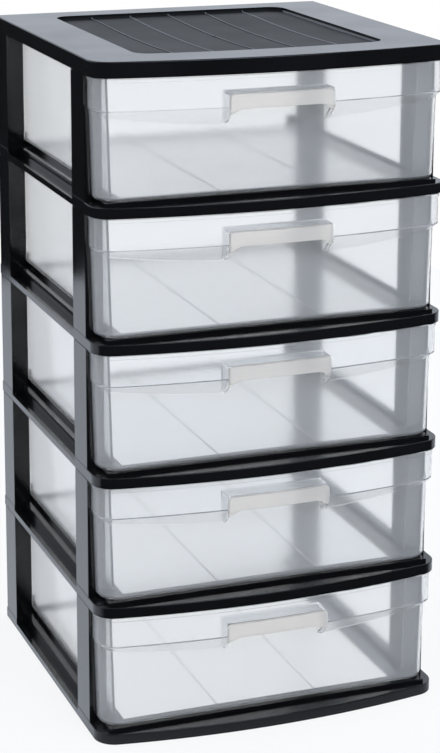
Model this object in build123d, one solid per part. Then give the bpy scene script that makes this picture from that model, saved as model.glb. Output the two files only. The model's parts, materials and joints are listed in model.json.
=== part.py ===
from build123d import *
import math
import os

# A tower of five pull-out drawers in an open frame, all in millimetres.
# X runs across the front, -Y is the front, +Z is up, and the origin is on the
# floor in the middle of the footprint.

# ---- the whole tower ----
WIDTH = 395.0  # across the shelves and the cover
SIDE_DEPTH = 374.0  # rear face to the front corners
BOW = 19.0  # how far the bowed front stands ahead of its corners
LEVELS = 5
PITCH = 143.5  # height of one storey
FRONT_RADIUS = 24.0  # front corners in plan
REAR_RADIUS = 2.0

# ---- shelves and base tray ----
BAND_HEIGHT = 11.3  # visible front band
BAND_WALL = 3.0
PLATE = 2.5
DECK_TOP = 15.0  # raised deck: runners at the sides and a bar at the front
DECK_INSET = 13.0
DECK_WALL = 2.5
DECK_LEAD = 2.5  # deck's front edge ahead of the drawer's flat front
RUNNER_WIDTH = 21.5  # the middle of the shelf is open
FRONT_BAR_DEPTH = 18.5
REAR_BAR_DEPTH = 8.0
REAR_BAR_HEIGHT = 5.0
LIP_TOP = 6.5  # outer lip beside the side channel
LIP_WIDTH = 5.0
CHANNEL_FLOOR = 2.0
GUIDE_WIDTH = 2.0
GUIDE_HEIGHT = 5.0
STOP_HEIGHT = 8.0  # upstand that stops the drawer at the rear
STOP_WALL = 2.5
STOP_INSET = 3.0
RIB_WALL = 2.0  # stiffening ribs under the runners
RIB_DROP = 6.0
RIB_COUNT = 4
RIB_SETBACK = 3.0  # ribs end short of the posts
EDGE_ROUND = 1.0  # softened top edge of the bands

# ---- side frames ----
SKIN_INSET = 0.3  # outer skin behind the face of the bands
POST_WALL = 2.5
POST_REACH = 19.5  # outer face of the shelf to the inner edge of the post
FRONT_POST_SETBACK = 36.0  # front corners to the front post
FRONT_POST_WIDTH = 43.0
REAR_POST_WIDTH = 45.0
POST_ROUND = 4.0  # outer vertical edge at the rear
SEAM = 1.2  # shadow line under each band
NECK_GAP = 0.3
NECK_SETBACK = 3.0
TOP_BAR_GAP = 0.3  # beside the deck wall above
TOP_BAR_DROP = 2.5
TOP_BAR_HEADROOM = 0.8  # under the plate above
FOOT_BAR_HEIGHT = 3.0
SEAT_GAP = 0.2

# ---- top cover ----
COVER_HEIGHT = 17.0
COVER_PLATE = 3.0
COVER_ROUND = 1.5
RECESS_SIDE = 58.5  # side of the cover to the recess
RECESS_FRONT = 48.5  # bowed front to the recess
RECESS_REAR = 35.0
RECESS_RADIUS = 18.0
RECESS_DEPTH = 5.0
DISH_DEPTH = 3.5  # the panel sags this much more at its middle
DISH_MARGIN = 11.0  # the sag starts this far beyond the recess
LINE_COUNT = 5  # fine raised lines on the panel
LINE_WIDTH = 1.2
LINE_HEIGHT = 0.7
GATE_RADIUS = 3.0  # round moulding mark that breaks the middle line

# ---- drawers ----
WALL = 2.0
DRAWER_LIFT = 0.4  # running clearance over the deck
RIM_GAP = 1.2  # drawer rim below the next band
SIDE_GAP = 0.8  # drawer rim beside the posts
GUIDE_GAP = 0.8
FLANGE_GAP = 2.0  # behind the drawer front, to the front posts
REAR_GAP = 3.0
FLAT_SETBACK = 6.4  # drawer's flat lower front behind the front corners
FLAT_INSET_LOW = 8.0  # lower front behind the side of the shelves, at its foot
FLAT_INSET_HIGH = 5.5
FLAT_RADIUS = 22.0
FLAT_ROUND = 4.0
UPPER_HEIGHT = 34.5  # proud upper band, down from the top of the storey
STEP_SLOPE = 0.95  # drop of the step's underside per millimetre of depth
STEP_MARGIN = 3.6  # the step runs on behind the flat front
UPPER_SIDE_INSET = 4.0  # upper band behind the side of the shelves
UPPER_INSET = 2.0  # upper band behind the face of the shelves
BEAD_HEIGHT = 3.5  # rolled bead along the top of the front
BEAD_PROUD = 0.8
BODY_DRAFT = 3.5
BODY_ROUND = 5.0
BODY_RADIUS = 12.0
RIM_WIDTH = 2.0
RIM_HEIGHT = 3.0
FLOOR_LINE_COUNT = 2  # low ribs on the drawer floor
FLOOR_LINE_WIDTH = 1.6
FLOOR_LINE_HEIGHT = 1.0

# ---- moulded pull on the drawer front ----
PULL_HALF = 58.0
PULL_DROP = 19.5  # top of the storey to the top of the pull
PULL_HEIGHT = 32.0
PULL_CHEEK = 2.5  # pull beside its arch
ARCH_DROP = 16.0  # top of the pull to the top of its arch
PULL_ARCH_RADIUS = 13.0
PULL_PROUD = 1.5
PULL_WALL = 3.0
PULL_RADIUS = 5.0  # its top corners, seen from the front
PULL_ROUND = 1.3  # softened outer edge
POCKET_ROOF = 2.0  # top of the pull to the top of the pocket
POCKET_RADIUS = 1.0

# ---- making ----
CUT_OVER = 1.0  # cuts run on past the faces that they open
LEAST_RADIUS = 1.0

# ---- worked out from the sizes above ----
HALF = WIDTH / 2
Y_BACK = (SIDE_DEPTH + BOW) / 2
Y_CORNER = Y_BACK - SIDE_DEPTH
BOW_RADIUS = (HALF**2 + BOW**2) / (2 * BOW)
BOW_CENTRE = Y_CORNER - BOW + BOW_RADIUS
FRONT_POST = (Y_CORNER + FRONT_POST_SETBACK, Y_CORNER + FRONT_POST_SETBACK + FRONT_POST_WIDTH)
REAR_POST = (Y_BACK - REAR_POST_WIDTH, Y_BACK)
Y_FLAT = Y_CORNER + FLAT_SETBACK
Y_FLANGE = FRONT_POST[0] - FLANGE_GAP
X_DECK = HALF - DECK_INSET
X_RUNNER = X_DECK - RUNNER_WIDTH
Y_DECK = Y_FLAT - DECK_LEAD
Y_RUNNER = Y_DECK + FRONT_BAR_DEPTH
X_POST = HALF - POST_REACH
PLATE_BOTTOM = BAND_HEIGHT - PLATE
DRAWER_LOW = DECK_TOP + DRAWER_LIFT
DRAWER_TOP = PITCH - RIM_GAP
BODY_HALF_HIGH = X_POST - SIDE_GAP - RIM_WIDTH
BODY_HALF_LOW = BODY_HALF_HIGH - BODY_DRAFT
Y_STOP = Y_BACK - STOP_INSET - STOP_WALL
Y_BODY_BACK = Y_STOP - REAR_GAP - RIM_WIDTH
TOP_BAR_WIDTH = X_DECK - DECK_WALL - TOP_BAR_GAP - X_POST
RECESS_HALF_WIDTH = HALF - RECESS_SIDE
Y_RECESS_FRONT = Y_CORNER - BOW + RECESS_FRONT
Y_RECESS_REAR = Y_BACK - RECESS_REAR
Y_RECESS_MIDDLE = (Y_RECESS_FRONT + Y_RECESS_REAR) / 2
LINE_SPACING = 2 * RECESS_HALF_WIDTH / (LINE_COUNT + 1)
FLAT_HALF_LOW = HALF - FLAT_INSET_LOW
FLAT_HALF_HIGH = HALF - FLAT_INSET_HIGH
UPPER_HALF = HALF - UPPER_SIDE_INSET
STEP_HEIGHT = PITCH - UPPER_HEIGHT
STEP_REACH = BOW + FLAT_SETBACK - UPPER_INSET + STEP_MARGIN
STEP_LOW = STEP_HEIGHT - STEP_REACH * STEP_SLOPE
PULL_TOP = PITCH - PULL_DROP
PULL_LOW = PULL_TOP - PULL_HEIGHT
PULL_ARCH = PULL_TOP - ARCH_DROP
PULL_ARCH_HALF = PULL_HALF - PULL_CHEEK
PULL_FACE = UPPER_INSET - PULL_PROUD
Y_PULL = Y_CORNER - BOW + PULL_FACE
POCKET_TOP = PULL_TOP - POCKET_ROOF
POCKET_TOP_RADIUS = max(PULL_RADIUS - PULL_CHEEK, LEAST_RADIUS)


def block(x, y, z):
    """A box between pairs of coordinates."""
    size = Box(x[1] - x[0], y[1] - y[0], z[1] - z[0])
    return Pos((x[0] + x[1]) / 2, (y[0] + y[1]) / 2, (z[0] + z[1]) / 2) * size


def mirrored(solid):
    """The same solid on the other side of the tower."""
    return mirror(solid, about=Plane.YZ)


def bowed_plan(inset, half, y_back, front_radius=0.0, rear_radius=0.0):
    """Outline with the bowed front drawn in by inset, straight sides and a straight back."""
    arc_radius = BOW_RADIUS - inset
    y_side = BOW_CENTRE - math.sqrt(arc_radius**2 - half**2)
    front = ThreePointArc((-half, y_side), (0, BOW_CENTRE - arc_radius), (half, y_side))
    rest = Polyline((half, y_side), (half, y_back), (-half, y_back), (-half, y_side))
    plan = make_face(front + rest)
    if front_radius:
        plan = fillet(plan.vertices().sort_by(Axis.Y)[:2], front_radius)
    if rear_radius:
        plan = fillet(plan.vertices().sort_by(Axis.Y)[-2:], rear_radius)
    return plan


def footprint(inset):
    """Plan of the shelves and the cover, drawn in by inset all round."""
    rear_radius = max(REAR_RADIUS - inset, 0.0)
    return bowed_plan(inset, HALF - inset, Y_BACK - inset, FRONT_RADIUS - inset, rear_radius)


def prism(plan, z):
    """A plan between two heights."""
    return extrude(Pos(0, 0, z[0]) * plan, z[1] - z[0])


def side_channel():
    """Solid left beside the deck between the posts: lip, floor, inner wall and end walls."""
    y = (FRONT_POST[1] - DECK_WALL, REAR_POST[0] + DECK_WALL)
    return block((X_DECK - DECK_WALL, HALF), y, (0, BAND_HEIGHT))


def channel_cut():
    """Open groove between the lip and the deck."""
    y = (FRONT_POST[1], REAR_POST[0])
    groove = block((X_DECK, HALF - LIP_WIDTH), y, (CHANNEL_FLOOR, DECK_TOP))
    above_lip = block((HALF - LIP_WIDTH, HALF + CUT_OVER), y, (LIP_TOP, DECK_TOP))
    return groove + above_lip


def runner_ribs():
    """Stiffening ribs under the right-hand runner."""
    x = (X_RUNNER, X_POST - RIB_SETBACK)
    z = (PLATE_BOTTOM - RIB_DROP, DECK_TOP - PLATE)
    y_high = Y_BACK - BAND_WALL
    ribs = []
    for i in range(RIB_COUNT):
        y = Y_RUNNER + (y_high - Y_RUNNER) * (i + 1) / (RIB_COUNT + 1)
        ribs.append(block(x, (y - RIB_WALL / 2, y + RIB_WALL / 2), z))
    return ribs


def runner_details():
    """Guide, rear stop and ribs of the right-hand runner."""
    x_guide = BODY_HALF_LOW + GUIDE_GAP
    x_end = x_guide + GUIDE_WIDTH
    y_guide = (FRONT_POST[0], Y_BACK - STOP_INSET)
    guide = block((x_guide, x_end), y_guide, (DECK_TOP - PLATE, DECK_TOP + GUIDE_HEIGHT))
    z_stop = (DECK_TOP - PLATE, DECK_TOP + STOP_HEIGHT)
    stop = block((X_RUNNER, x_end), (Y_STOP, Y_STOP + STOP_WALL), z_stop)
    return [guide, stop] + runner_ribs()


def shelf_hollow():
    """Space under the shelf, inside the band, the channels and the walls of the deck."""
    hollow = prism(footprint(BAND_WALL), (0, PLATE_BOTTOM))
    hollow -= side_channel()
    hollow -= mirrored(side_channel())
    x_under = X_DECK - DECK_WALL
    y_under = (Y_DECK + DECK_WALL, Y_BACK - STOP_INSET - DECK_WALL)
    hollow += block((-x_under, x_under), y_under, (0, DECK_TOP - PLATE))
    x_wall = X_RUNNER + DECK_WALL
    hollow -= block((-x_wall, x_wall), (Y_RUNNER - DECK_WALL, Y_BACK), (0, DECK_TOP))
    return hollow


def shelf():
    """One shelf or the base tray: bowed band, side channels, and a deck that is open in the middle."""
    band = prism(footprint(0), (0, BAND_HEIGHT))
    top_edges = band.edges().group_by(Axis.Z)[-1]
    body = fillet(top_edges, EDGE_ROUND)
    for y in (FRONT_POST, (REAR_POST[0], Y_BACK - REAR_RADIUS)):
        seat = block((HALF - BAND_WALL, HALF), y, (PLATE_BOTTOM, BAND_HEIGHT))
        body += seat
        body += mirrored(seat)
    body += block((-X_DECK, X_DECK), (Y_DECK, Y_BACK - STOP_INSET), (PLATE_BOTTOM, DECK_TOP))
    body -= shelf_hollow()
    body -= channel_cut()
    body -= mirrored(channel_cut())

    x_open = (-X_RUNNER, X_RUNNER)
    body -= block(x_open, (Y_RUNNER, Y_BACK + CUT_OVER), (0, DECK_TOP))
    body += block(x_open, (Y_BACK - REAR_BAR_DEPTH, Y_BACK), (0, REAR_BAR_HEIGHT))
    for detail in runner_details():
        body += detail
        body += mirrored(detail)
    return body


def post(y, rounded_rear):
    """One post of the right side: a channel open to the inside, capped, with a neck on top."""
    x = (X_POST, HALF - SKIN_INSET)
    z = (BAND_HEIGHT, PITCH - SEAM)
    solid = block(x, y, z)
    if rounded_rear:
        edge = solid.edges().filter_by(Axis.Z).sort_by(Axis.X)[-2:].sort_by(Axis.Y)[-1]
        solid = fillet(edge, POST_ROUND)
    inside_y = (y[0] + POST_WALL, y[1] - POST_WALL)
    x_open = x[0] - CUT_OVER
    solid -= block((x_open, x[1] - POST_WALL), inside_y, (z[0], z[1] - POST_WALL))
    solid -= block((x_open, X_DECK + SEAT_GAP), y, (z[0], DECK_TOP))

    neck_x = (X_POST, HALF - BAND_WALL - NECK_GAP)
    neck_y = (y[0] + NECK_SETBACK, y[1] - NECK_SETBACK)
    neck_z = (z[1], PITCH + PLATE_BOTTOM)
    neck = block(neck_x, neck_y, neck_z)
    core_y = (neck_y[0] + POST_WALL, neck_y[1] - POST_WALL)
    neck -= block((x_open, neck_x[1] - POST_WALL), core_y, neck_z)
    return solid + neck


def foot_leg(y_window, outward):
    """Leg that drops from a post into the side channel; outward is -1 at the front post, 1 at the rear."""
    x = (X_DECK + SEAT_GAP, HALF - LIP_WIDTH - SEAT_GAP)
    top = BAND_HEIGHT + POST_WALL
    near = y_window - outward * SEAT_GAP
    far = near - outward * POST_WALL
    hidden = y_window + outward * POST_WALL
    leg = block(x, sorted((near, far)), (CHANNEL_FLOOR, top))
    return leg + block(x, sorted((hidden, far)), (BAND_HEIGHT, top))


def side_frame():
    """Right-hand side frame of one storey: two posts joined by a top bar and a foot bar."""
    y_window = (FRONT_POST[1], REAR_POST[0])
    bar_x = (X_POST, X_POST + TOP_BAR_WIDTH)
    cap_y = (y_window[0] - POST_WALL, y_window[1] + POST_WALL)
    neck_y = (cap_y[0] - NECK_SETBACK, cap_y[1] + NECK_SETBACK)
    foot_x = (X_DECK + SEAT_GAP, HALF - LIP_WIDTH - SEAT_GAP)
    foot_y = (y_window[0] + SEAT_GAP, y_window[1] - SEAT_GAP)
    frame = post(FRONT_POST, False) + post(REAR_POST, True)
    frame += block(bar_x, cap_y, (PITCH - SEAM - TOP_BAR_DROP, PITCH - SEAM))
    frame += block(bar_x, neck_y, (PITCH - SEAM, PITCH + PLATE_BOTTOM - TOP_BAR_HEADROOM))
    frame += block(foot_x, foot_y, (CHANNEL_FLOOR, CHANNEL_FLOOR + FOOT_BAR_HEIGHT))
    frame += foot_leg(y_window[0], -1)
    frame += foot_leg(y_window[1], 1)
    return frame


def recess_plan(grow):
    """Outline of the recess in the cover, grown outwards."""
    inset = RECESS_FRONT - grow
    half = RECESS_HALF_WIDTH + grow
    radius = RECESS_RADIUS + grow
    return bowed_plan(inset, half, Y_RECESS_REAR + grow, radius, radius)


def dish(lift):
    """Large ball whose lowest part shapes the sagging panel."""
    reach = RECESS_HALF_WIDTH + DISH_MARGIN
    radius = (reach**2 + DISH_DEPTH**2) / (2 * DISH_DEPTH)
    lowest = COVER_HEIGHT - RECESS_DEPTH - DISH_DEPTH + lift
    return Pos(0, Y_RECESS_MIDDLE, lowest + radius) * Sphere(radius)


def panel_lines():
    """Fine raised lines along the panel, with the moulding mark in the middle one."""
    y = (Y_RECESS_FRONT, Y_RECESS_REAR)
    z_ledge = COVER_HEIGHT - RECESS_DEPTH
    z = (z_ledge - DISH_DEPTH - PLATE / 2, z_ledge + LINE_HEIGHT)
    lines = []
    for i in range(LINE_COUNT):
        x = (i - (LINE_COUNT - 1) / 2) * LINE_SPACING
        lines.append(block((x - LINE_WIDTH / 2, x + LINE_WIDTH / 2), y, z))
    tall = z[1] - z[0]
    at_mark = Pos(0, Y_RECESS_MIDDLE, (z[0] + z[1]) / 2)
    mark = Cylinder(GATE_RADIUS, tall) - Cylinder(GATE_RADIUS - LINE_WIDTH, tall)
    raised = lines[0]
    for line in lines[1:]:
        raised += line
    raised -= at_mark * Cylinder(GATE_RADIUS, tall)
    raised += at_mark * mark
    return (raised & prism(recess_plan(0), z)) - dish(LINE_HEIGHT)


def cover():
    """Top cover: bowed rim, sagging panel with fine lines, and seats for the side frames."""
    slab = prism(footprint(0), (0, COVER_HEIGHT))
    body = fillet(slab.edges().group_by(Axis.Z)[-1], COVER_ROUND)
    panel_low = COVER_HEIGHT - RECESS_DEPTH - DISH_DEPTH - PLATE
    hollow = prism(footprint(BAND_WALL), (0, COVER_HEIGHT - COVER_PLATE))
    hollow -= prism(recess_plan(PLATE), (panel_low, COVER_HEIGHT))
    body -= hollow
    body -= prism(recess_plan(0), (COVER_HEIGHT - RECESS_DEPTH, COVER_HEIGHT + CUT_OVER))
    body -= dish(0) & prism(recess_plan(0), (panel_low, COVER_HEIGHT))
    body += panel_lines()
    for y in (FRONT_POST, REAR_POST):
        seat_x = (X_POST, HALF - BAND_WALL / 2)
        seat_y = (y[0] + NECK_SETBACK, y[1] - NECK_SETBACK)
        seat = block(seat_x, seat_y, (PLATE_BOTTOM, COVER_HEIGHT - COVER_PLATE / 2))
        body += seat
        body += mirrored(seat)
    return body


def flat_plan(half, inset):
    """Plan of the drawer's flat lower front, back to its flange."""
    y_front = Y_FLAT + inset
    outline = Polyline(
        (-half + inset, y_front),
        (half - inset, y_front),
        (half - inset, Y_FLANGE - inset),
        (-half + inset, Y_FLANGE - inset),
        close=True,
    )
    plan = make_face(outline)
    return fillet(plan.vertices().sort_by(Axis.Y)[:2], FLAT_RADIUS - inset)


def upper_plan(inset, y_back):
    """Plan of the proud upper band, drawn in by inset."""
    radius = max(FRONT_RADIUS - UPPER_INSET - inset, LEAST_RADIUS)
    return bowed_plan(UPPER_INSET + inset, UPPER_HALF - inset, y_back, radius)


def body_plan(half, y_back, inset):
    """Plan of the drawer's body behind its front."""
    y_front = Y_FLAT + FLAT_ROUND + WALL
    outline = Polyline(
        (-half + inset, y_front),
        (half - inset, y_front),
        (half - inset, y_back - inset),
        (-half + inset, y_back - inset),
        close=True,
    )
    plan = make_face(outline)
    return fillet(plan.vertices().sort_by(Axis.Y)[-2:], BODY_RADIUS - inset)


def lower_front(inset, z_top):
    """Flat lower front with its rounded corners and bottom edge."""
    z_low = DRAWER_LOW + inset
    low = Pos(0, 0, z_low) * flat_plan(FLAT_HALF_LOW, inset)
    high = Pos(0, 0, z_top) * flat_plan(FLAT_HALF_HIGH, inset)
    solid = loft([low, high], ruled=True)
    low_edges = solid.edges().group_by(Axis.Z)[0].sort_by(Axis.Y)[:-1]
    return fillet(low_edges, FLAT_ROUND - inset)


def upper_front(inset):
    """Proud upper band and the sloping step under it."""
    z_step = STEP_HEIGHT + inset * (math.sqrt(1 + STEP_SLOPE**2) - STEP_SLOPE)
    z_top = DRAWER_TOP + (CUT_OVER if inset else 0)
    y_back = Y_FLANGE - inset
    band = prism(upper_plan(inset, y_back), (z_step, z_top))
    z_low = z_step - STEP_REACH * STEP_SLOPE
    low = Pos(0, 0, z_low) * upper_plan(inset + STEP_REACH, y_back)
    high = Pos(0, 0, z_step) * upper_plan(inset, y_back)
    return band + loft([low, high], ruled=True)


def drawer_body(inset):
    """Drafted box behind the front, with rounded rear corners and bottom edges."""
    z_low = DRAWER_LOW + inset
    z_high = DRAWER_TOP + (CUT_OVER if inset else 0)
    low = Pos(0, 0, z_low) * body_plan(BODY_HALF_LOW, Y_BODY_BACK - RIM_WIDTH, inset)
    high = Pos(0, 0, z_high) * body_plan(BODY_HALF_HIGH, Y_BODY_BACK, inset)
    solid = loft([low, high], ruled=True)
    low_edges = solid.edges().group_by(Axis.Z)[0].sort_by(Axis.Y)[1:]
    return fillet(low_edges, BODY_ROUND - inset)


def rims():
    """Rim round the drawer's body and bead along the top of its front."""
    z_rim = (DRAWER_TOP - RIM_HEIGHT, DRAWER_TOP)
    rim = prism(body_plan(BODY_HALF_HIGH, Y_BODY_BACK, -RIM_WIDTH), z_rim)
    rim &= block((-HALF, HALF), (Y_FLANGE - WALL, Y_BACK), z_rim)
    bead_z = (DRAWER_TOP - BEAD_HEIGHT, DRAWER_TOP)
    bead = prism(upper_plan(-BEAD_PROUD, Y_FLANGE), bead_z)
    return rim + bead


def rounded_top(half, z, radius):
    """Deep block between two heights, with its top corners rounded as seen from the front."""
    tall = z[1] - z[0] + 2 * radius
    outline = Plane.XZ * Pos(0, z[1] - tall / 2) * RectangleRounded(2 * half, tall, radius)
    return extrude(outline, WIDTH, both=True) & block((-WIDTH, WIDTH), (-WIDTH, WIDTH), z)


def pull_outer():
    """Proud block of the pull, with softened edges and a lower edge cut back at a slant."""
    hood = prism(bowed_plan(PULL_FACE, PULL_HALF, Y_FLAT), (PULL_LOW, PULL_TOP))
    top_corners = hood.edges().filter_by(Axis.Y).group_by(Axis.Z)[-1]
    hood = fillet(top_corners, PULL_RADIUS)
    front = hood.faces().sort_by(Axis.Y)[0]
    hood = fillet(front.edges().sort_by(Axis.Z)[1:], PULL_ROUND)
    y_ahead = Y_PULL - CUT_OVER
    z_below = PULL_LOW - CUT_OVER
    drop = PULL_ARCH - z_below
    slant = make_face(
        Polyline((y_ahead, z_below), (y_ahead, PULL_ARCH), (y_ahead + drop, z_below), close=True)
    )
    return hood - extrude(Plane.YZ * slant, HALF, both=True)


def pull_space():
    """Finger space: the pocket behind the pull, and the arch cut back to the drawer's flat front."""
    plan = bowed_plan(PULL_FACE + PULL_WALL, PULL_ARCH_HALF, Y_FLAT, POCKET_RADIUS)
    z_pocket = (STEP_LOW, POCKET_TOP)
    pocket = prism(plan, z_pocket) & rounded_top(PULL_ARCH_HALF, z_pocket, POCKET_TOP_RADIUS)
    z_arch = (STEP_LOW, PULL_ARCH)
    through = block((-HALF, HALF), (Y_PULL - BOW, Y_FLAT), z_arch)
    return pocket + (rounded_top(PULL_ARCH_HALF, z_arch, PULL_ARCH_RADIUS) & through)


def pocket_wall():
    """Block that keeps a wall round the finger space inside the drawer."""
    x = PULL_ARCH_HALF + WALL
    return block((-x, x), (Y_PULL - BOW, Y_FLAT + WALL), (STEP_LOW - WALL, POCKET_TOP + WALL))


def floor_lines():
    """Low ribs along the drawer floor."""
    y = (Y_FLAT + FLAT_ROUND + WALL, Y_BODY_BACK - BODY_ROUND)
    z = (DRAWER_LOW + WALL / 2, DRAWER_LOW + WALL + FLOOR_LINE_HEIGHT)
    half = FLOOR_LINE_WIDTH / 2
    spacing = 2 * BODY_HALF_LOW / (FLOOR_LINE_COUNT + 1)
    lines = []
    for i in range(FLOOR_LINE_COUNT):
        x = (i - (FLOOR_LINE_COUNT - 1) / 2) * spacing
        lines.append(block((x - half, x + half), y, z))
    return lines


def drawer():
    """One translucent drawer with its bowed front, moulded pull, rim and floor."""
    shell = drawer_body(0) + lower_front(0, STEP_HEIGHT) + upper_front(0) + rims() + pull_outer()
    inside = drawer_body(WALL) + lower_front(WALL, STEP_HEIGHT) + upper_front(WALL)
    inside -= pocket_wall()
    shell -= inside
    shell -= pull_space()
    for line in floor_lines():
        shell += line
    return shell


def build():
    """Name and place every piece; storeys and drawers are numbered from the top."""
    one_shelf = shelf()
    one_drawer = drawer()
    right_frame = side_frame()
    left_frame = mirrored(right_frame)
    pieces = {"top_cover": Pos(0, 0, LEVELS * PITCH) * cover(), "base_tray": one_shelf}
    for number in range(1, LEVELS + 1):
        at = Pos(0, 0, (LEVELS - number) * PITCH)
        if number < LEVELS:
            pieces[f"shelf_{number}"] = at * one_shelf
        pieces[f"left_side_frame_{number}"] = at * left_frame
        pieces[f"right_side_frame_{number}"] = at * right_frame
        pieces[f"drawer_{number}"] = at * one_drawer
    return pieces


os.makedirs("parts", exist_ok=True)
for name, piece in build().items():
    export_step(piece, f"parts/{name}.step")
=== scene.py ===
import json
import math

import bmesh
import bpy
from mathutils import Matrix, Vector


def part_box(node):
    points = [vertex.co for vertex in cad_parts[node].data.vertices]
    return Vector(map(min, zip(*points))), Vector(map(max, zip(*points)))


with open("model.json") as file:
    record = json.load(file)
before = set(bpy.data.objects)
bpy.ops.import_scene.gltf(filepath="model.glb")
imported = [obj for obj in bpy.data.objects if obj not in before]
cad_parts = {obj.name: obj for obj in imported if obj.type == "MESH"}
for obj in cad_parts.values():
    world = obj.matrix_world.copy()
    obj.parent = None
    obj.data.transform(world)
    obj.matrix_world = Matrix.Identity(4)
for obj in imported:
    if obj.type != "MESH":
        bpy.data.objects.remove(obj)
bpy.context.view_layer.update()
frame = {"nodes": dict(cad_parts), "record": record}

# Lengths are in metres. X runs across the front, -Y is the front and +Z is up.

# ---- the cover's sunk panel, as a mask for its material ----
COVER_LOW, COVER_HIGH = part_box("top_cover")
RECESS_SIDE = 0.0585  # edge of the cover to the recess
RECESS_FRONT = 0.0485
RECESS_REAR = 0.035
PANEL_MARGIN = 0.0002  # the mask reaches just past the walls of the recess
FRONT_MARGIN = 0.0005
LEDGE_DEPTH = 0.003  # what lies deeper below the rim is the panel
PANEL_HALF = COVER_HIGH.x - RECESS_SIDE + PANEL_MARGIN
PANEL_FRONT = COVER_LOW.y + RECESS_FRONT - FRONT_MARGIN
PANEL_REAR = COVER_HIGH.y - RECESS_REAR + PANEL_MARGIN
PANEL_TOP = COVER_HIGH.z - LEDGE_DEPTH
LINE_COUNT = 5
LINE_SPACING = 2 * (COVER_HIGH.x - RECESS_SIDE) / (LINE_COUNT + 1)
LINE_HALF = 0.0006

# ---- the drawers' moulded pulls, as a mask for their material ----
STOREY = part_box("shelf_4")[0].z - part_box("base_tray")[0].z
PULL_HALF = 0.0581
PULL_LOW = 0.0915  # above the foot of its storey
PULL_TOP = 0.1241
PULL_CORNER = 0.005
PULL_BACK = -0.1905  # only the front wall of the pull is greyer, with painted shade

# ---- black plastics ----
GLOSS_TONES = ((0.004, 0.004, 0.004, 1), (0.007, 0.007, 0.008, 1))
PANEL_TONES = ((0.007, 0.007, 0.008, 1), (0.016, 0.016, 0.018, 1))
LINE_HIGHLIGHT = (0.22, 0.22, 0.23, 1)  # tops of the raised lines, paler as a painted highlight
BLACK_IOR = 1.5
SHELF_ROUGHNESS = 0.10
SIDE_ROUGHNESS = 0.07
COVER_ROUGHNESS = 0.16
MOTTLE = 0.06  # added to the roughness in patches
PANEL_MATT = 0.42  # added to the roughness of the panel
BLACK_CLOUD = 14.0
BLACK_GRAIN = 700.0
BLACK_BUMP = 0.12
PANEL_GRAIN = 900.0
PANEL_GRIT = 0.7  # roughness of the grain's noise
RIM_BUMP = 0.05
PANEL_BUMP = 0.25  # added to the rim's
BLACK_RELIEF = 0.0002

# ---- clear plastic ----
CLEAR_TONES = ((0.98, 0.99, 1.0, 1), (0.99, 0.995, 1.0, 1))
# painted shade: the warm grey of the pulls stands for the shaded hollow seen through them
PULL_SHADE_TONE = (0.88, 0.83, 0.77, 1)
CLEAR_IOR = 1.15
CLEAR_ROUGHNESS = (0.14, 0.18)
PULL_FROST = 0.15  # added to the roughness of the pulls
CLEAR_TRANSMISSION = 0.89
PULL_TRANSMISSION = 0.62
CLEAR_CLOUD = 9.0
CLEAR_GRAIN = 1300.0
CLEAR_BUMP = 0.1
CLEAR_RELIEF = 0.0001

# ---- noise ----
CLOUD_DETAIL = 3.0
GRAIN_DETAIL = 2.0
CLOUD_SPAN = (0.3, 0.7)  # nearly all of the cloud noise lies between these

# ---- camera, fitted to the photograph ----
CAMERA_PLACE = (-0.8420, -2.2437, 1.0714)
CAMERA_YAW = 0.3607  # radians to the right of +Y
CAMERA_PITCH = 0.2217  # radians below the horizon
CAMERA_ROLL = 0.0033
FOCAL_PIXELS = 2202.4
IMAGE_HEIGHT = 753
SENSOR = 36.0
SHIFT_Y = -0.22

# ---- room ----
WHITE = (1, 1, 1, 1)
FLOOR_RADIUS = 1.9
FLOOR_SIDES = 96
FLOOR_PALE = (0.86, 0.87, 0.88, 1)
FLOOR_DROP = 0.0005
SHADOW_SHARE = 0.15  # of the floor that the camera sees as lit surface
DAY_LIGHT = (0.86, 0.95, 1.08, 1)  # lights the tower evenly
COOL_LIGHT = (0.84, 0.90, 1.0, 1)  # mirrored in the gloss
DARK_ROOM = 0.015  # level mirrored from in front of the tower and from below the horizon
BRIGHT_ROOM = 1.0  # level mirrored from behind it
FLOOR_FADE = (-0.30, -0.10)  # along y, the floor's reflection turns from dark to bright
ROOM_FADE = (-0.35, 0.15)  # the same for the room, along the y of its direction
HORIZON_FADE = (-0.04, 0.04)  # and along the z of its direction

# ---- lamp ----
KEY_PLACE = (0.6, -2.2, 2.2)
KEY_AIM = (0, 0, 0.35)
KEY_SIDE = 1.2
KEY_POWER = 18
KEY_LIGHT = (0.78, 0.90, 1.08)


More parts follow.
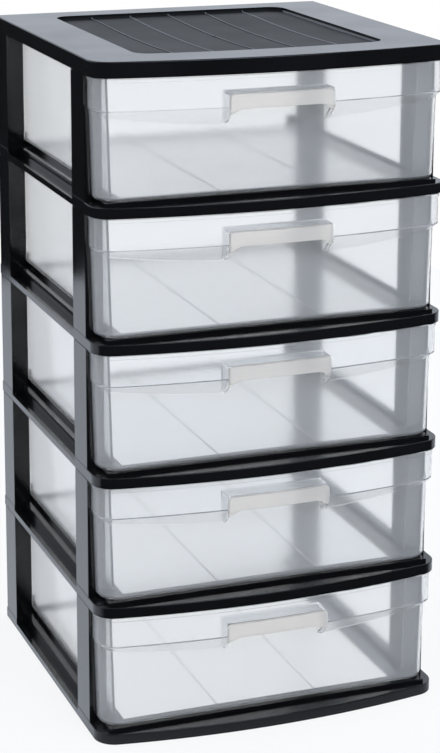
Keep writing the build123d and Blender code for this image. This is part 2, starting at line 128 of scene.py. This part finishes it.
class Nodes:
    """Short ways to build one node tree."""

    def __init__(self, tree):
        self.tree = tree
        tree.nodes.clear()

    def feed(self, socket, value):
        """Links a socket to another, or sets its value."""
        if isinstance(value, bpy.types.NodeSocket):
            self.tree.links.new(value, socket)
        else:
            socket.default_value = value

    def add(self, kind, **inputs):
        """New node; an input's underscores stand for spaces."""
        node = self.tree.nodes.new(kind)
        for name, value in inputs.items():
            self.feed(node.inputs[name.replace("_", " ")], value)
        return node

    def math(self, operation, a, b=0.0):
        node = self.tree.nodes.new("ShaderNodeMath")
        node.operation = operation
        for socket, value in zip(node.inputs, (a, b)):
            self.feed(socket, value)
        return node.outputs[0]

    def both(self, *tests):
        """One where all the tests are one."""
        result = tests[0]
        for test in tests[1:]:
            result = self.math("MULTIPLY", result, test)
        return result

    def span(self, value, low, high, to_low=0.0, to_high=1.0):
        """Maps a range onto another and holds its ends."""
        node = self.add(
            "ShaderNodeMapRange",
            Value=value,
            From_Min=low,
            From_Max=high,
            To_Min=to_low,
            To_Max=to_high,
        )
        node.clamp = True
        return node.outputs["Result"]

    def mix_colour(self, factor, a, b):
        node = self.tree.nodes.new("ShaderNodeMix")
        node.data_type = "RGBA"
        inputs = {socket.name: socket for socket in node.inputs if socket.enabled}
        for name, value in (("Factor", factor), ("A", a), ("B", b)):
            self.feed(inputs[name], value)
        return [socket for socket in node.outputs if socket.enabled][0]

    def mix_shader(self, factor, a, b):
        node = self.tree.nodes.new("ShaderNodeMixShader")
        for socket, value in zip(node.inputs, (factor, a, b)):
            self.feed(socket, value)
        return node.outputs[0]

    def noise(self, place, scale, detail, roughness=0.5):
        node = self.add("ShaderNodeTexNoise", Vector=place, Scale=scale, Detail=detail, Roughness=roughness)
        return node.outputs["Fac"]

    def bumped(self, height, strength, relief):
        node = self.add("ShaderNodeBump", Height=height, Strength=strength, Distance=relief)
        return node.outputs["Normal"]

    def finish(self, shader):
        self.add("ShaderNodeOutputMaterial", Surface=shader)


def new_material(name):
    """Empty material, its nodes, and the place on the object."""
    material = bpy.data.materials.new(name)
    material.use_nodes = True
    nodes = Nodes(material.node_tree)
    place = nodes.add("ShaderNodeTexCoord").outputs["Object"]
    return material, nodes, place


def glossy_skin(nodes, place, roughness):
    """Mottled colour and roughness of polished black plastic."""
    cloud = nodes.noise(place, BLACK_CLOUD, CLOUD_DETAIL)
    colour = nodes.mix_colour(cloud, *GLOSS_TONES)
    return colour, nodes.span(cloud, *CLOUD_SPAN, roughness, roughness + MOTTLE)


def black_plastic(name, roughness):
    """Glossy black polypropylene with a slightly uneven moulded skin."""
    material, nodes, place = new_material(name)
    colour, rough = glossy_skin(nodes, place, roughness)
    grain = nodes.noise(place, BLACK_GRAIN, GRAIN_DETAIL)
    shader = nodes.add(
        "ShaderNodeBsdfPrincipled",
        Base_Color=colour,
        Roughness=rough,
        IOR=BLACK_IOR,
        Normal=nodes.bumped(grain, BLACK_BUMP, BLACK_RELIEF),
    )
    nodes.finish(shader.outputs["BSDF"])
    return material


def panel_mask(nodes, x, y, z):
    """One on the cover's sunk panel, zero on its rim."""
    return nodes.both(
        nodes.math("LESS_THAN", nodes.math("ABSOLUTE", x), PANEL_HALF),
        nodes.math("GREATER_THAN", y, PANEL_FRONT),
        nodes.math("LESS_THAN", y, PANEL_REAR),
        nodes.math("LESS_THAN", z, PANEL_TOP),
    )


def panel_colour(nodes, x, grain):
    """Grained matt black, with the raised lines paler as a painted highlight."""
    matt = nodes.mix_colour(grain, *PANEL_TONES)
    off_line = nodes.math("PINGPONG", x, LINE_SPACING / 2)
    # the tops of the raised lines get a painted highlight colour
    return nodes.mix_colour(nodes.math("LESS_THAN", off_line, LINE_HALF), matt, LINE_HIGHLIGHT)


def cover_plastic():
    """Cover: glossy rim, and a finely textured matt panel that looks greyer."""
    material, nodes, place = new_material("cover_black")
    x, y, z = nodes.add("ShaderNodeSeparateXYZ", Vector=place).outputs
    panel = panel_mask(nodes, x, y, z)
    grain = nodes.noise(place, PANEL_GRAIN, CLOUD_DETAIL, PANEL_GRIT)
    gloss, rough = glossy_skin(nodes, place, COVER_ROUGHNESS)
    colour = nodes.mix_colour(panel, gloss, panel_colour(nodes, x, grain))
    rough = nodes.math("ADD", nodes.math("MULTIPLY", panel, PANEL_MATT), rough)
    strength = nodes.math("ADD", nodes.math("MULTIPLY", panel, PANEL_BUMP), RIM_BUMP)
    shader = nodes.add(
        "ShaderNodeBsdfPrincipled",
        Base_Color=colour,
        Roughness=rough,
        IOR=BLACK_IOR,
        Normal=nodes.bumped(grain, strength, BLACK_RELIEF),
    )
    nodes.finish(shader.outputs["BSDF"])
    return material


def beyond(nodes, value, limit):
    """Square of how far a value lies beyond a limit."""
    excess = nodes.math("MAXIMUM", nodes.math("SUBTRACT", value, limit), 0.0)
    return nodes.math("POWER", excess, 2.0)


def pull_mask(nodes, place):
    """One on the front walls of the pulls, with round top corners; zero on the rest of the drawers."""
    x, y, z = nodes.add("ShaderNodeSeparateXYZ", Vector=place).outputs
    height = nodes.math("MODULO", z, STOREY)
    aside = beyond(nodes, nodes.math("ABSOLUTE", x), PULL_HALF - PULL_CORNER)
    above = beyond(nodes, height, PULL_TOP - PULL_CORNER)
    return nodes.both(
        nodes.math("LESS_THAN", nodes.math("ADD", aside, above), PULL_CORNER**2),
        nodes.math("LESS_THAN", y, PULL_BACK),
        nodes.math("GREATER_THAN", height, PULL_LOW),
    )


def clear_plastic():
    """Frosted translucent polypropylene of the drawers; their pulls are greyer, with painted shade."""
    material, nodes, place = new_material("drawer_clear")
    pull = pull_mask(nodes, place)
    cloud = nodes.noise(place, CLEAR_CLOUD, CLOUD_DETAIL)
    grain = nodes.noise(place, CLEAR_GRAIN, GRAIN_DETAIL)
    # the pulls' front walls get a warm grey painted shade, for the hollow behind them
    colour = nodes.mix_colour(pull, nodes.mix_colour(cloud, *CLEAR_TONES), PULL_SHADE_TONE)
    rough = nodes.span(cloud, *CLOUD_SPAN, *CLEAR_ROUGHNESS)
    shader = nodes.add(
        "ShaderNodeBsdfPrincipled",
        Base_Color=colour,
        Roughness=nodes.math("ADD", rough, nodes.math("MULTIPLY", pull, PULL_FROST)),
        IOR=CLEAR_IOR,
        Transmission_Weight=nodes.span(pull, 0.0, 1.0, CLEAR_TRANSMISSION, PULL_TRANSMISSION),
        Normal=nodes.bumped(grain, CLEAR_BUMP, CLEAR_RELIEF),
    )
    nodes.finish(shader.outputs["BSDF"])
    return material


def dress_nodes():
    """Gives each CAD node the material of its slot."""
    materials = {
        "cover_black": cover_plastic(),
        "shelf_black": black_plastic("shelf_black", SHELF_ROUGHNESS),
        "side_frame_black": black_plastic("side_frame_black", SIDE_ROUGHNESS),
        "drawer_clear": clear_plastic(),
    }
    for part in frame["record"]["subparts"]:
        node = frame["nodes"][part["node"]]
        node.data.materials.clear()
        node.data.materials.append(materials[part["material_slot"]])


def make_camera():
    """Camera at the photograph's viewpoint."""
    data = bpy.data.cameras.new("camera")
    data.sensor_fit = "AUTO"
    data.sensor_width = SENSOR
    data.lens = FOCAL_PIXELS / IMAGE_HEIGHT * SENSOR
    data.shift_y = SHIFT_Y
    camera = bpy.data.objects.new("camera", data)
    turn = Matrix.Rotation(-CAMERA_YAW, 4, "Z") @ Matrix.Rotation(math.pi / 2 - CAMERA_PITCH, 4, "X")
    camera.matrix_world = Matrix.Translation(CAMERA_PLACE) @ turn @ Matrix.Rotation(CAMERA_ROLL, 4, "Z")
    bpy.context.scene.collection.objects.link(camera)
    bpy.context.scene.camera = camera


def ray_kinds(nodes):
    """Tells what the eye sees, also through clear plastic, from what glossy surfaces mirror."""
    path = nodes.add("ShaderNodeLightPath")
    through = path.outputs["Is Transmission Ray"]
    seen = nodes.math("MAXIMUM", path.outputs["Is Camera Ray"], through)
    mirrored = nodes.math("MULTIPLY", path.outputs["Is Glossy Ray"], nodes.math("SUBTRACT", 1.0, through))
    return seen, mirrored


def floor_material():
    """White to the eye, with a faint shadow; mirrored as dark in front and bright behind."""
    material, nodes, place = new_material("floor")
    y = nodes.add("ShaderNodeSeparateXYZ", Vector=place).outputs["Y"]
    seen, mirrored = ray_kinds(nodes)
    lit = nodes.add("ShaderNodeBsdfDiffuse", Color=FLOOR_PALE).outputs[0]
    glow = nodes.add("ShaderNodeEmission", Color=WHITE, Strength=1.0).outputs[0]
    level = nodes.span(y, *FLOOR_FADE, DARK_ROOM, BRIGHT_ROOM)
    gloss = nodes.add("ShaderNodeEmission", Color=COOL_LIGHT, Strength=level).outputs[0]
    shown = nodes.mix_shader(nodes.math("MULTIPLY", seen, 1 - SHADOW_SHARE), lit, glow)
    nodes.finish(nodes.mix_shader(mirrored, shown, gloss))
    return material


def make_floor():
    """Round floor just under the tower."""
    mesh = bpy.data.meshes.new("floor")
    shape = bmesh.new()
    bmesh.ops.create_circle(shape, cap_ends=True, radius=FLOOR_RADIUS, segments=FLOOR_SIDES)
    shape.to_mesh(mesh)
    shape.free()
    mesh.materials.append(floor_material())
    floor = bpy.data.objects.new("floor", mesh)
    floor.location = (0, 0, -FLOOR_DROP)
    bpy.context.scene.collection.objects.link(floor)


def make_world():
    """White to the eye and plain soft light; mirrored as dark in front and low down."""
    world = bpy.data.worlds.new("studio")
    bpy.context.scene.world = world
    world.use_nodes = True
    nodes = Nodes(world.node_tree)
    direction = nodes.add("ShaderNodeTexCoord").outputs["Generated"]
    y, z = nodes.add("ShaderNodeSeparateXYZ", Vector=direction).outputs[1:]
    seen, mirrored = ray_kinds(nodes)
    bright = nodes.math("MULTIPLY", nodes.span(y, *ROOM_FADE), nodes.span(z, *HORIZON_FADE))
    gloss_level = nodes.span(bright, 0.0, 1.0, DARK_ROOM, BRIGHT_ROOM)
    tint = nodes.mix_colour(seen, nodes.mix_colour(mirrored, DAY_LIGHT, COOL_LIGHT), WHITE)
    level = nodes.math("MAXIMUM", nodes.math("SUBTRACT", 1.0, mirrored), gloss_level)
    background = nodes.add("ShaderNodeBackground", Color=tint, Strength=level)
    nodes.add("ShaderNodeOutputWorld", Surface=background.outputs[0])


def make_key():
    """Large soft lamp above the viewer."""
    data = bpy.data.lights.new("key", "AREA")
    data.shape = "RECTANGLE"
    data.size = KEY_SIDE
    data.size_y = KEY_SIDE
    data.energy = KEY_POWER
    data.color = KEY_LIGHT
    lamp = bpy.data.objects.new("key", data)
    lamp.location = KEY_PLACE
    lamp.rotation_euler = (Vector(KEY_AIM) - Vector(KEY_PLACE)).to_track_quat("-Z", "Y").to_euler()
    bpy.context.scene.collection.objects.link(lamp)


make_camera()
dress_nodes()
make_floor()
make_world()
make_key()

bpy.context.scene.view_settings.view_transform = "Standard"
